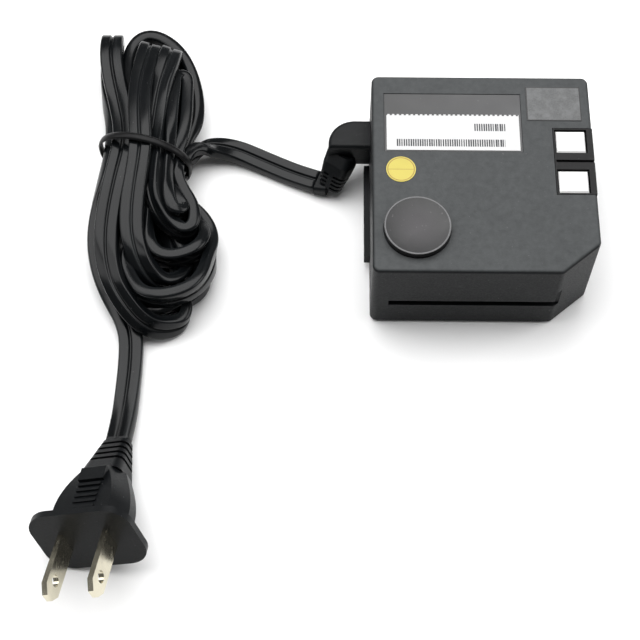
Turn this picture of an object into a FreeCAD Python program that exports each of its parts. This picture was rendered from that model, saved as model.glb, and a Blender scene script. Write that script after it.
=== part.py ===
"""Plug-in power adapter lying label side up, with its connector, tied cord and two-blade plug.

Millimetres, +Z up. The origin is on the floor under the middle of the case with its side ledge.
"""
import FreeCAD
import Part
import Sketcher
import math
import os
import re
from FreeCAD import Placement, Rotation, Vector

doc = FreeCAD.newDocument("power_adapter")

# Driving sizes

SIZES = {
    # case
    "case_width": 61.0, "case_depth": 63.0, "case_height": 29.5, "case_wall": 2.4,
    "seam_share": 0.72, "corner_radius": 2.0, "corner_cut": 10.6, "corner_run": 8.9, "rim_radius": 1.0,
    "tongue_height": 1.6, "fit": 0.15,
    # guide slot in the front wall and ledge on the left wall
    "slot_left": -25.7, "slot_runout": 1.2, "slot_low": 10.4, "slot_high": 12.8, "slot_deep": 1.2,
    "hook_width": 1.3, "hook_drop": 3.2,
    "ledge_proud": 1.6, "ledge_low": 2.6, "ledge_high": 6.0, "ledge_front": -14.0, "ledge_back": 16.4,
    # label side
    "label_left": 3.5, "label_right": 19.5, "label_y": 15.8, "label_depth": 19.0, "label_recess": 0.3,
    "film": 0.15, "sticker_edge": 0.6, "sticker_depth": 11.8, "sticker_y": 12.55,
    "dot_in": 7.9, "dot_y": 0.3, "dot_radius": 4.05, "patch_in": 10.2, "patch_y": 22.2,
    "patch_width": 15.2, "patch_depth": 11.3,
    "foot_in": 12.0, "foot_y": -18.4, "foot_radius": 9.0, "foot_proud": 2.0, "foot_seat": 0.4,
    "dish_radius": 8.6, "dish_deep": 1.0,
    # output block
    "output_in": 6.1, "output_y": 3.4, "window_pitch": 12.95, "window_width": 8.8,
    "window_depth": 7.6, "window_deep": 4.5, "output_rim": 0.4, "output_lip": 1.2,
    "insert_gap": 0.4, "insert_low": 0.15, "insert_round": 0.4, "bar_groove": 0.8,
    "contact_thick": 0.8, "contact_width": 2.0, "contact_entry": 1.7,
    # mains inlet
    "inlet_y": 19.85, "inlet_z": 12.2, "pin_pitch": 4.8, "pin_radius": 0.95, "nose_radius": 2.7,
    "nose_gap": 0.25, "nose_length": 9.0, "inlet_depth": 13.5, "inlet_wall": 1.2,
    "inlet_back": 2.5, "tail": 0.9, "sleeve_wall": 0.4, "sleeve_gap": 0.12,
    # board and its posts
    "board_low": 6.0, "board_thick": 1.6, "board_gap": 0.6, "post_radius": 2.5,
    "stake_radius": 1.1, "stake_proud": 0.8, "post_in": 5.7, "post_deep": 6.0, "post_past_cut": 16.5,
    "post_past_inlet": 8.7,
    # cord connector
    "head_depth": 9.5, "head_tall": 11.0, "head_length": 12.0, "head_round": 7.6, "head_soft": 1.2,
    "head_under": 3.2,
    "relief_slot": 0.6, "relief_spine": 1.4, "relief_skin": 1.0,
    # cord
    "cord_width": 6.8, "cord_thick": 3.4, "tie_width": 2.0, "tie_thick": 0.8,
    # plug
    "plug_x": -101.6, "plug_y": -100.8, "plug_z": 13.65, "plug_yaw": 8.1, "plug_tilt": 18.3,
    "plug_roll": 21.7, "flange_width": 28.2, "flange_tall": 21.4, "flange_thick": 1.9,
    "flange_round": 6.5, "grip_end": 20.0, "plug_length": 32.0, "grip_tall": 14.5,
    "relief_end_width": 8.0, "relief_end_tall": 4.8, "rib_count": 4, "rib_thick": 1.25,
    "rib_space": 0.9, "rib_deep": 0.8,
    "blade_pitch": 12.7, "blade_width": 6.35, "blade_thick": 1.5, "blade_length": 17.0,
    "blade_root": 6.0, "blade_taper": 2.4, "blade_tip": 2.6, "blade_hole": 1.6,
    "blade_hole_at": 11.9,
}

sheet = doc.addObject("Spreadsheet::Sheet", "Sizes")
for row, (alias, number) in enumerate(SIZES.items(), 1):
    sheet.set("A%d" % row, alias)
    sheet.set("B%d" % row, str(number))
    sheet.setAlias("B%d" % row, alias)
doc.recompute()

# The ledge stands out on one side only, so the case lies this far off the origin
CASE_X = "ledge_proud / 2"

# Places that follow the walls: the seam, the label side, the output block and the room inside
SEAM = "(case_height * seam_share)"
LABEL_X, LABEL_WIDTH = "((label_left - label_right) / 2)", "(case_width - label_left - label_right)"
DOT_X, PATCH_X = "(dot_in - case_width / 2)", "(case_width / 2 - patch_in)"
FOOT_X, OUTPUT_X = "(foot_in - case_width / 2)", "(case_width / 2 - output_in)"
BOARD_TOP = "(board_low + board_thick)"
HEADROOM = "(case_height - case_wall - %s)" % BOARD_TOP


def tied(formula):
    """The formula with each size's name pointing to its cell in the sheet."""
    return re.sub(r"[a-z_]+", lambda word: "Sizes." + word.group()
                  if word.group() in SIZES else word.group(), str(formula))


def size(alias):
    """The present number in a size's cell."""
    return float(sheet.get(alias))


# Builders shared by the pieces

def part_body(label):
    piece = doc.addObject("PartDesign::Body", label)
    piece.Label = label
    piece.setExpression("Placement.Base.x", tied(CASE_X))
    return piece


def sketch_on(piece, plane, name, offset="0"):
    """A sketch on one of the body's own planes, moved along that plane's normal."""
    sketch = piece.newObject("Sketcher::SketchObject", name)
    face = [item for item in piece.Origin.OriginFeatures if item.Role == plane][0]
    sketch.AttachmentSupport = [(face, "")]
    sketch.MapMode = "FlatFace"
    sketch.setExpression("AttachmentOffset.Base.z", tied(offset))
    return sketch


def tie_point(sketch, geometry, end, x, y):
    for kind, formula in (("DistanceX", x), ("DistanceY", y)):
        place = sketch.getPoint(geometry, end)
        index = sketch.addConstraint(Sketcher.Constraint(
            kind, -1, 1, geometry, end, place.x if kind == "DistanceX" else place.y))
        sketch.setExpression("Constraints[%d]" % index, tied(formula))


def polygon(sketch, corners):
    """Closed outline of straight sides whose corners follow the given formulas, in turn."""
    first = sketch.GeometryCount
    count = len(corners)
    ring = [Vector(10 * math.cos(2 * math.pi * i / count), 10 * math.sin(2 * math.pi * i / count), 0)
            for i in range(count)]
    for i in range(count):
        sketch.addGeometry(Part.LineSegment(ring[i], ring[(i + 1) % count]), False)
    for i in range(count):
        sketch.addConstraint(Sketcher.Constraint(
            "Coincident", first + i, 2, first + (i + 1) % count, 1))
    for i, (x, y) in enumerate(corners):
        tie_point(sketch, first + i, 1, x, y)


def rectangle(sketch, left, right, low, high):
    polygon(sketch, [(left, low), (right, low), (right, high), (left, high)])


def circle(sketch, x, y, radius):
    index = sketch.addGeometry(Part.Circle(Vector(1, 1, 0), Vector(0, 0, 1), 2), False)
    tie_point(sketch, index, 3, x, y)
    radius_at = sketch.addConstraint(Sketcher.Constraint("Radius", index, 2))
    sketch.setExpression("Constraints[%d]" % radius_at, tied(radius))


def upright_slot(sketch, x, y, radius, pitch):
    """Round-ended slot standing along the sketch's second axis."""
    high, low = (Vector(size(x), size(y) + way * size(pitch) / 2, 0) for way in (1, -1))
    side = Vector(4, 0, 0)
    top = sketch.addGeometry(Part.ArcOfCircle(Part.Circle(high, Vector(0, 0, 1), 4), 0, math.pi), False)
    foot = sketch.addGeometry(Part.ArcOfCircle(
        Part.Circle(low, Vector(0, 0, 1), 4), math.pi, 2 * math.pi), False)
    left = sketch.addGeometry(Part.LineSegment(high - side, low - side), False)
    right = sketch.addGeometry(Part.LineSegment(low + side, high + side), False)
    for one, one_end, other, other_end in (
            (top, 2, left, 1), (left, 2, foot, 1), (foot, 2, right, 1), (right, 2, top, 1)):
        sketch.addConstraint(Sketcher.Constraint("Tangent", one, one_end, other, other_end))
    tie_point(sketch, top, 3, x, "%s + %s / 2" % (y, pitch))
    tie_point(sketch, foot, 3, x, "%s - %s / 2" % (y, pitch))
    index = sketch.addConstraint(Sketcher.Constraint("Radius", top, 3))
    sketch.setExpression("Constraints[%d]" % index, tied(radius))


def feature(piece, kind, name, sketch, length, backwards=False):
    """A pad or a pocket of the sketch, and the body's new shape behind it."""
    item = piece.newObject("PartDesign::" + kind, name)
    item.Profile = sketch
    item.setExpression("Length", tied(length))
    item.Reversed = backwards
    sketch.Visibility = False
    doc.recompute()
    return item


def rounded(piece, base, name, radius, wanted, kind="Fillet"):
    """Fillet the edges of the feature that the test picks."""
    edges = ["Edge%d" % i for i, edge in enumerate(base.Shape.Edges, 1) if wanted(edge)]
    item = piece.newObject("PartDesign::" + kind, name)
    item.Base = (base, edges)
    item.setExpression("Radius" if kind == "Fillet" else "Size", tied(radius))
    doc.recompute()
    return item


def upright(edge):
    box = edge.BoundBox
    return box.XLength < 1e-4 and box.YLength < 1e-4 and box.ZLength > 1


def level_at(height):
    """Test for edges that lie wholly at one height."""
    return lambda edge: abs(edge.BoundBox.ZMin - height) < 1e-4 and edge.BoundBox.ZLength < 1e-4


def placed(piece, x, y, z):
    for axis, formula in (("x", "%s + (%s)" % (CASE_X, x)), ("y", y), ("z", z)):
        piece.setExpression("Placement.Base." + axis, tied(formula))
    return piece


def block(label, x, y, low, wide, deep, tall):
    """Box centred on x and y and standing on low."""
    piece = doc.addObject("Part::Box", label)
    piece.Label = label
    for side, formula in (("Length", wide), ("Width", deep), ("Height", tall)):
        piece.setExpression(side, tied(formula))
    return placed(piece, "(%s) - (%s) / 2" % (x, wide), "(%s) - (%s) / 2" % (y, deep), low)


def drum(label, x, y, low, radius, tall):
    piece = doc.addObject("Part::Cylinder", label)
    piece.Label = label
    piece.setExpression("Radius", tied(radius))
    piece.setExpression("Height", tied(tall))
    return placed(piece, x, y, low)


def joined(label, *pieces):
    piece = doc.addObject("Part::MultiFuse", label)
    piece.Label = label
    piece.Shapes = list(pieces)
    return piece


def less(label, base, tool):
    piece = doc.addObject("Part::Cut", label)
    piece.Label = label
    piece.Base, piece.Tool = base, tool
    return piece


def softened(label, base, radius, wanted):
    """The solid with the picked edges rounded."""
    doc.recompute()
    piece = doc.addObject("Part::Fillet", label)
    piece.Label = label
    piece.Base = base
    piece.Edges = [(i, radius, radius) for i, edge in enumerate(base.Shape.Edges, 1) if wanted(edge)]
    return piece


def made(label, shape, place=None):
    """A piece whose form comes from Part's own functions."""
    piece = doc.addObject("Part::Feature", label)
    piece.Label = label
    piece.Shape = shape
    if place:
        piece.Placement = place
    return piece


# Case outline: a rectangle with its front right corner cut off, moved in by any amount

def case_corners(inset):
    wide, deep = "(case_width / 2 - (%s))" % inset, "(case_depth / 2 - (%s))" % inset
    slant = "sqrt(corner_cut ^ 2 + corner_run ^ 2)"
    cut = "(corner_cut - (%s) * (1 - (%s - corner_cut) / corner_run))" % (inset, slant)
    run = "(corner_run - (%s) * (1 - (%s - corner_run) / corner_cut))" % (inset, slant)
    return [("-" + wide, deep), ("-" + wide, "-" + deep), ("%s - %s" % (wide, cut), "-" + deep),
            (wide, "-%s + %s" % (deep, run)), (wide, deep)]


# Lower case

lower = part_body("lower_case")
outline = sketch_on(lower, "XY_Plane", "lower_outline")
polygon(outline, case_corners("0"))
shell = feature(lower, "Pad", "lower_block", outline, SEAM)
shell = rounded(lower, shell, "lower_corners", "corner_radius", upright)
shell = rounded(lower, shell, "lower_rim", "rim_radius", level_at(0), "Chamfer")
hollow = sketch_on(lower, "XY_Plane", "lower_hollow_outline", SEAM)
polygon(hollow, case_corners("case_wall"))
feature(lower, "Pocket", "lower_hollow", hollow, SEAM + " - case_wall")
tongue = sketch_on(lower, "XY_Plane", "tongue_outline", SEAM)
polygon(tongue, case_corners("case_wall / 2 + fit"))
polygon(tongue, case_corners("case_wall"))
feature(lower, "Pad", "tongue", tongue, "tongue_height")
slot = sketch_on(lower, "XZ_Plane", "guide_slot_outline", "case_depth / 2")
slot_end = "case_width / 2 - corner_cut + slot_runout"
polygon(slot, [("slot_left", "slot_low"), (slot_end, "slot_low"), (slot_end, SEAM + " - hook_drop"),
               (slot_end + " - hook_width", SEAM + " - hook_drop"), (slot_end + " - hook_width", "slot_high"),
               ("slot_left", "slot_high")])
feature(lower, "Pocket", "guide_slot", slot, "slot_deep")
ledge = sketch_on(lower, "YZ_Plane", "ledge_outline", "-case_width / 2 + case_wall / 2")
rectangle(ledge, "ledge_front", "ledge_back", "ledge_low", "ledge_high")
feature(lower, "Pad", "ledge", ledge, "ledge_proud + case_wall / 2", backwards=True)
mouth = sketch_on(lower, "YZ_Plane", "inlet_mouth_outline", "-case_width / 2 - ledge_proud")
upright_slot(mouth, "inlet_y", "inlet_z", "nose_radius + nose_gap", "pin_pitch")
feature(lower, "Pocket", "inlet_mouth", mouth, "case_wall + 2 * ledge_proud", backwards=True)
LEFT_POST, FRONT_POST = "post_in - case_width / 2", "post_deep - case_depth / 2"
POSTS = [(LEFT_POST, FRONT_POST), ("case_width / 2 - post_past_cut", FRONT_POST),
         ("case_width / 2 - post_in", "case_depth / 2 - post_deep"), (LEFT_POST, "inlet_y - post_past_inlet")]
posts = sketch_on(lower, "XY_Plane", "posts_outline", "case_wall - fit")
for x, y in POSTS:
    circle(posts, x, y, "post_radius")
feature(lower, "Pad", "posts", posts, "board_low - case_wall + fit")
stakes = sketch_on(lower, "XY_Plane", "stakes_outline", "board_low - fit")
for x, y in POSTS:
    circle(stakes, x, y, "stake_radius")
feature(lower, "Pad", "stakes", stakes, "board_thick + stake_proud + fit")

# Upper case with the recesses of its label side

upper = part_body("upper_case")
outline = sketch_on(upper, "XY_Plane", "upper_outline", SEAM)
polygon(outline, case_corners("0"))
shell = feature(upper, "Pad", "upper_block", outline, "case_height - " + SEAM)
shell = rounded(upper, shell, "upper_corners", "corner_radius", upright)
shell = rounded(upper, shell, "upper_rim", "rim_radius", level_at(size("case_height")))
hollow = sketch_on(upper, "XY_Plane", "upper_hollow_outline", SEAM)
polygon(hollow, case_corners("case_wall"))
feature(upper, "Pocket", "upper_hollow", hollow, "case_height - " + SEAM + " - case_wall", True)
rebate = sketch_on(upper, "XY_Plane", "rebate_outline", SEAM)
polygon(rebate, case_corners("case_wall / 2"))
feature(upper, "Pocket", "rebate", rebate, "tongue_height + fit", backwards=True)
recess = sketch_on(upper, "XY_Plane", "label_recess_outline", "case_height")
rectangle(recess, LABEL_X + " - " + LABEL_WIDTH + " / 2 - fit", LABEL_X + " + " + LABEL_WIDTH + " / 2 + fit",
          "label_y - label_depth / 2 - fit", "label_y + label_depth / 2 + fit")
feature(upper, "Pocket", "label_recess", recess, "label_recess")
seat = sketch_on(upper, "XY_Plane", "foot_seat_outline", "case_height")
circle(seat, FOOT_X, "foot_y", "foot_radius + fit")
feature(upper, "Pocket", "foot_seat", seat, "foot_seat")
FRAME_LEFT = OUTPUT_X + " - window_width / 2 - output_rim"
FRAME_FRONT = "output_y - window_pitch / 2 - window_depth / 2 - output_rim"
FRAME_BACK = "output_y + window_pitch / 2 + window_depth / 2 + output_rim"
notch = sketch_on(upper, "XY_Plane", "output_notch_outline", "case_height")
rectangle(notch, FRAME_LEFT + " - fit", "case_width / 2 + 1", FRAME_FRONT + " - fit",
          FRAME_BACK + " + fit")
feature(upper, "Pocket", "output_notch", notch, "case_height - " + SEAM)

# Rubber foot: a disc with a shallow dish

foot = part_body("rubber_foot")
disc = sketch_on(foot, "XY_Plane", "foot_outline", "case_height - foot_seat")
circle(disc, FOOT_X, "foot_y", "foot_radius")
pad = feature(foot, "Pad", "foot_disc", disc, "foot_seat + foot_proud")
dish = foot.newObject("PartDesign::SubtractiveSphere", "foot_dish")
bowl = "((dish_radius ^ 2 + dish_deep ^ 2) / (2 * dish_deep))"
dish.setExpression("Radius", tied(bowl))
for axis, formula in (("x", FOOT_X), ("y", "foot_y"),
                      ("z", "case_height + foot_proud - dish_deep + " + bowl)):
    dish.setExpression("Placement.Base." + axis, tied(formula))
doc.recompute()

# Films on the label side

label_top = "case_height - label_recess + film"
block("rating_label", LABEL_X, "label_y", "case_height - label_recess", LABEL_WIDTH,
      "label_depth", "film")
block("bar_sticker", LABEL_X, "sticker_y", label_top, LABEL_WIDTH + " - 2 * sticker_edge", "sticker_depth", "film")
drum("round_sticker", DOT_X, "dot_y", "case_height", "dot_radius", "film")
block("marking_patch", PATCH_X, "patch_y", "case_height", "patch_width", "patch_depth", "film")

# Output block: a frame with two windows, an insert in each, and three contacts below

frame = part_body("output_frame")
FRAME_FLOOR = SEAM + " + tongue_height + fit"
outline = sketch_on(frame, "XY_Plane", "frame_outline", SEAM)
rectangle(outline, FRAME_LEFT, "case_width / 2", FRAME_FRONT, FRAME_BACK)
feature(frame, "Pad", "frame_block", outline, "case_height - " + SEAM)
lip = sketch_on(frame, "XY_Plane", "lip_outline", FRAME_FLOOR)
rectangle(lip, FRAME_LEFT + " - output_lip", "case_width / 2 - case_wall - fit",
          FRAME_FRONT + " - output_lip", FRAME_BACK + " + output_lip")
feature(frame, "Pad", "frame_lip", lip, "case_height - case_wall - fit - (%s)" % FRAME_FLOOR)
step = sketch_on(frame, "XY_Plane", "frame_step_outline", SEAM)
rectangle(step, FRAME_LEFT + " - 2 * output_lip", "case_width / 2 - case_wall / 2",
          FRAME_FRONT + " - 2 * output_lip", FRAME_BACK + " + 2 * output_lip")
feature(frame, "Pocket", "frame_step", step, "tongue_height + fit", backwards=True)
wells = sketch_on(frame, "XY_Plane", "window_outline", "case_height")
for side in ("+", "-"):
    middle = "output_y %s window_pitch / 2" % side
    rectangle(wells, OUTPUT_X + " - window_width / 2", OUTPUT_X + " + window_width / 2",
              middle + " - window_depth / 2", middle + " + window_depth / 2")
feature(frame, "Pocket", "windows", wells, "window_deep")
groove = sketch_on(frame, "XY_Plane", "bar_groove_outline", "case_height")
rectangle(groove, OUTPUT_X + " - window_width / 2", "case_width / 2 + 1",
          "output_y - bar_groove / 2", "output_y + bar_groove / 2")
feature(frame, "Pocket", "bar_groove_cut", groove, "bar_groove")
entries = sketch_on(frame, "XY_Plane", "contact_entry_outline", FRAME_FLOOR)
for step in (-1, 0, 1):
    middle = "output_y + %d * window_pitch / 2" % step
    rectangle(entries, OUTPUT_X + " - contact_thick / 2 - fit", OUTPUT_X + " + contact_thick / 2 + fit",
              middle + " - contact_width / 2 - fit", middle + " + contact_width / 2 + fit")
feature(frame, "Pocket", "contact_entries", entries, "contact_entry", backwards=True)

for number, side in ((1, "+"), (2, "-")):
    insert = part_body("output_insert_%d" % number)
    middle = "output_y %s window_pitch / 2" % side
    outline = sketch_on(insert, "XY_Plane", "insert_outline_%d" % number, "case_height - window_deep")
    rectangle(outline, OUTPUT_X + " - window_width / 2 + insert_gap",
              OUTPUT_X + " + window_width / 2 - insert_gap",
              middle + " - window_depth / 2 + insert_gap", middle + " + window_depth / 2 - insert_gap")
    tile = feature(insert, "Pad", "insert_block_%d" % number, outline, "window_deep - insert_low")
    top = size("case_height") - size("insert_low")
    rounded(insert, tile, "insert_rim_%d" % number, "insert_round", level_at(top), "Chamfer")

for number in (1, 2, 3):
    block("output_contact_%d" % number, OUTPUT_X, "output_y + (%d) * window_pitch / 2" % (2 - number),
          BOARD_TOP, "contact_thick", "contact_width",
          "%s + contact_entry - fit - (%s)" % (FRAME_FLOOR, BOARD_TOP))

# Mains inlet behind the left wall, with two pins and their solder tails

inlet = part_body("inlet_housing")
outline = sketch_on(inlet, "YZ_Plane", "inlet_outline", "-case_width / 2 + case_wall")
INLET_HALF = "nose_radius + nose_gap + inlet_wall"
rectangle(outline, "inlet_y - (%s)" % INLET_HALF, "inlet_y + (%s)" % INLET_HALF,
          "case_wall + fit", "inlet_z + pin_pitch / 2 + " + INLET_HALF)
feature(inlet, "Pad", "inlet_block", outline, "inlet_depth")
socket = sketch_on(inlet, "YZ_Plane", "inlet_socket_outline", "-case_width / 2 + case_wall")
upright_slot(socket, "inlet_y", "inlet_z", "nose_radius + nose_gap", "pin_pitch")
feature(inlet, "Pocket", "inlet_socket", socket, "inlet_depth - inlet_back", backwards=True)
bores = sketch_on(inlet, "YZ_Plane", "inlet_bores_outline", "-case_width / 2 + case_wall")
for side in ("+", "-"):
    circle(bores, "inlet_y", "inlet_z %s pin_pitch / 2" % side, "pin_radius")
feature(inlet, "Pocket", "inlet_bores", bores, "inlet_depth", backwards=True)

INLET_BACK = "-case_width / 2 + case_wall + inlet_depth"
PIN_START = "-case_width / 2 + case_wall + 1"
for number, side, reach in ((1, "-", 1.4), (2, "+", 2.6)):
    rod = drum("inlet_rod_%d" % number, PIN_START, "inlet_y", "inlet_z %s pin_pitch / 2" % side,
               "pin_radius", "inlet_depth - 1 + tail / 2")
    rod.Placement.Rotation = Rotation(Vector(0, 1, 0), 90)
    height = "inlet_z %s pin_pitch / 2" % side
    arm = block("inlet_arm_%d" % number, "%s + %s / 2" % (INLET_BACK, reach), "inlet_y",
                height + " - tail / 2", str(reach), "tail", "tail")
    drop = block("inlet_drop_%d" % number, "%s + %s - tail / 2" % (INLET_BACK, reach), "inlet_y",
                 BOARD_TOP, "tail", "tail", "%s - %s" % (height, BOARD_TOP))
    joined("inlet_pin_%d" % number, rod, arm, drop)

# Circuit board: the case's outline less the inlet's corner, with holes for the stakes

board = part_body("circuit_board")
outline = sketch_on(board, "XY_Plane", "board_outline", "board_low")
inner = "case_wall + board_gap"
corners = case_corners(inner)
step_x = INLET_BACK + " + board_gap"
step_y = "inlet_y - (%s) - board_gap" % INLET_HALF
polygon(outline, [(step_x, corners[0][1]), (step_x, step_y), (corners[0][0], step_y)] + corners[1:])
feature(board, "Pad", "board_sheet", outline, "board_thick")
holes = sketch_on(board, "XY_Plane", "board_holes_outline", BOARD_TOP)
for x, y in POSTS:
    circle(holes, x, y, "stake_radius + fit")
feature(board, "Pocket", "board_holes", holes, "board_thick")

# Parts on the board: place and size in the order x, y, wide, deep, tall

block("interference_capacitor", "8.5", "24.6", BOARD_TOP, "13", "6.4", "12")
block("bridge_rectifier", "-19.6", "4.6", BOARD_TOP, "8.2", "6.4", "3.4")
block("optocoupler", "1.2", "-19.2", BOARD_TOP, "4.6", "6.5", "3.6")
drum("fuse", "-5.6", "24.2", BOARD_TOP, "4.2", "7.6")


def capacitor(label, x, y, radius, tall):
    """Standing can with a rolled groove near its foot."""
    can = drum(label + "_can", x, y, BOARD_TOP, radius, tall)
    groove = less(label + "_groove", drum(label + "_roll", x, y, BOARD_TOP + " + 1.8", radius + " + 1", "0.8"),
                  drum(label + "_neck", x, y, BOARD_TOP + " + 1.8", radius + " - 0.4", "0.8"))
    return less(label, can, groove)


capacitor("bulk_capacitor", "-17.4", "-9.2", "8", HEADROOM + " - 1.1")
capacitor("output_capacitor_1", "21.6", "-13.6", "4", "12.5")
capacitor("output_capacitor_2", "20", "20.4", "4", "12.5")

disc = drum("bridging_disc", "9.8", "-15.6", BOARD_TOP + " + 6", "4.4", "3.6")
disc.Placement.Rotation = Rotation(Vector(1, 0, 0), 90)
legs = [block("bridging_leg_%d" % i, "9.8 + (%d) * 2.5" % side, "-17.4", BOARD_TOP, "0.6", "0.6", "4")
        for i, side in ((1, -1), (2, 1))]
joined("bridging_capacitor", disc, *legs)

spool = [drum("choke_foot", "-6.4", "12", BOARD_TOP, "5", "1.4"),
         drum("choke_stem", "-6.4", "12", BOARD_TOP, "2.4", "12"),
         drum("choke_cap", "-6.4", "12", BOARD_TOP + " + 10.6", "5", "1.4")]
joined("choke_core", *spool)
less("choke_winding", drum("choke_coil", "-6.4", "12", BOARD_TOP + " + 1.4", "4.6", "9.2"),
     drum("choke_bore", "-6.4", "12", BOARD_TOP + " + 1", "2.4", "10"))

# Transformer: upright core with two windows, a bobbin on its middle leg, the winding round it

TRAFO_X, TRAFO_Y, TRAFO_LOW = "3.4", "-3.6", BOARD_TOP + " + 1.6"
CORE_TALL = HEADROOM + " - 3"
core = block("core_block", TRAFO_X, TRAFO_Y, TRAFO_LOW, "22", "6", CORE_TALL)
windows = joined("core_windows",
                 block("core_window_1", TRAFO_X + " - 5.5", TRAFO_Y, TRAFO_LOW + " + 2.8", "5", "8",
                       CORE_TALL + " - 5.6"),
                 block("core_window_2", TRAFO_X + " + 5.5", TRAFO_Y, TRAFO_LOW + " + 2.8", "5", "8",
                       CORE_TALL + " - 5.6"))
less("transformer_core", core, windows)
tube = joined("bobbin_form",
              block("bobbin_tube", TRAFO_X, TRAFO_Y, TRAFO_LOW + " + 2.8", "7.8", "7.8",
                    CORE_TALL + " - 5.6"),
              block("bobbin_low", TRAFO_X, TRAFO_Y, TRAFO_LOW + " + 2.8", "15.6", "17", "0.9"),
              block("bobbin_high", TRAFO_X, TRAFO_Y, "%s + %s - 3.7" % (TRAFO_LOW, CORE_TALL), "15.6", "17", "0.9"),
              block("bobbin_rail_1", TRAFO_X, TRAFO_Y + " - 6.5", BOARD_TOP, "15.6", "4", "4.8"),
              block("bobbin_rail_2", TRAFO_X, TRAFO_Y + " + 6.5", BOARD_TOP, "15.6", "4", "4.8"))
less("transformer_bobbin", tube,
     block("bobbin_bore", TRAFO_X, TRAFO_Y, TRAFO_LOW, "6", "6", CORE_TALL))
coil = block("coil_block", TRAFO_X, TRAFO_Y, TRAFO_LOW + " + 3.7", "15", "16.4", CORE_TALL + " - 7.4")
coil = softened("coil_soft", coil, 2.5, upright)
less("transformer_winding", coil,
     block("coil_bore", TRAFO_X, TRAFO_Y, TRAFO_LOW + " + 3", "7.8", "7.8", CORE_TALL))

# Heat sinks and the two power parts that lean on them

block("primary_heat_sink", "-9.8", "-26.6", BOARD_TOP, "20", "1.5", HEADROOM + " - 4.5")
block("secondary_heat_sink", "16.4", "3.4", BOARD_TOP, "1.5", "18", HEADROOM + " - 5.5")


def power_part(label, x, y, wide, deep, tab_x, tab_y, tab_wide, tab_deep):
    """Moulded block low on a taller metal tab."""
    mould = block(label + "_mould", x, y, BOARD_TOP + " + 1", wide, deep, "9")
    tab = block(label + "_tab", tab_x, tab_y, BOARD_TOP, tab_wide, tab_deep, HEADROOM + " - 5")
    return joined(label, mould, tab)


power_part("switching_transistor", "-9.8", "-23.05", "10", "3.2", "-9.8", "-25.2", "8", "1.3")
power_part("output_rectifier", "19.9", "3.4", "2.9", "10", "17.8", "3.4", "1.3", "8")

# Cord connector: round-ended head, nose in the inlet, and the ribbed relief that turns to the floor

WALL_X = (size("ledge_proud") - size("case_width")) / 2
INLET = Vector(WALL_X, size("inlet_y"), size("inlet_z"))


def upright_oval(radius, pitch, centre):
    """Face of a round-ended slot standing up, seen along X."""
    top, foot = centre + Vector(0, 0, pitch / 2), centre - Vector(0, 0, pitch / 2)
    side, rise = Vector(0, radius, 0), Vector(0, 0, radius)
    return Part.Face(Part.Wire([
        Part.Arc(top - side, top + rise, top + side).toShape(),
        Part.LineSegment(top + side, foot + side).toShape(),
        Part.Arc(foot + side, foot - rise, foot - side).toShape(),
        Part.LineSegment(foot - side, top - side).toShape()]))


def plain_section(centre, ahead, wide, tall):
    """Rectangle across the given heading, its width level."""
    ahead = Vector(ahead).normalize()
    side = Vector(0, 0, 1).cross(ahead).normalize() * wide / 2
    rise = ahead.cross(side).normalize() * tall / 2
    corners = [centre + side + rise, centre - side + rise, centre - side - rise, centre + side - rise]
    return Part.makePolygon(corners + corners[:1])


def rounded_section(centre, ahead, wide, tall, radius):
    """Rounded rectangle across the given heading, its width level."""
    ahead = Vector(ahead).normalize()
    side = Vector(0, 0, 1).cross(ahead).normalize()
    rise = ahead.cross(side).normalize()
    at = lambda across, up: centre + side * across + rise * up
    edges = []
    for across, up in ((1, 1), (-1, 1), (-1, -1), (1, -1)):
        x, y = across * (wide / 2 - radius), up * (tall / 2 - radius)
        slant = radius * math.sqrt(0.5)
        ends = [at(x + across * radius, y), at(x, y + up * radius)]
        if across * up < 0:
            ends.reverse()
        edges.append(Part.Arc(ends[0], at(x + across * slant, y + up * slant), ends[1]).toShape())
    runs = [Part.LineSegment(edges[i].lastVertex().Point, edges[(i + 1) % 4].firstVertex().Point)
            .toShape() for i in range(4)]
    return Part.Wire([edge for pair in zip(edges, runs) for edge in pair])


reach, deep, tall = size("head_length"), size("head_depth"), size("head_tall")
head = Part.makeBox(reach, deep, tall, INLET - Vector(reach, deep / 2, tall / 2))
bend = [edge for edge in head.Edges if upright(edge) and edge.BoundBox.XMax < WALL_X - 1
        and edge.BoundBox.YMin > INLET.y]
head = head.makeFillet(size("head_round"), bend)
below = [edge for edge in head.Edges if edge.BoundBox.ZMax < INLET.z - tall / 2 + 0.01
         and edge.BoundBox.XMin < WALL_X - 1]
head = head.makeFillet(size("head_under"), below)
above = [edge for edge in head.Edges if edge.BoundBox.ZMin > INLET.z + tall / 2 - 0.01
         and edge.BoundBox.XMin < WALL_X - 1]
head = head.makeFillet(size("head_soft"), above)

# Sections of the relief: place from the head's middle on the wall, share of the drop, width, height
TIP_Z = 2.6
RELIEF = [(-7.6, -2.4, 0.94, 8.2, 7.6), (-8.7, -4.9, 0.75, 8.2, 7.6), (-10.0, -7.0, 0.44, 7.6, 6.4),
          (-11.4, -9.1, 0.08, 6.4, 4.8)]
RELIEF_AHEAD = Vector(-0.32, -0.5, -0.8)
RELIEF_SLOTS, RELIEF_PITCH, RELIEF_FIRST = 6, 1.32, 3.1
skin = size("relief_skin")


def relief_place(x, y, share):
    return Vector(INLET.x + x, INLET.y + y, TIP_Z + (INLET.z - TIP_Z) * share)


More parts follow.
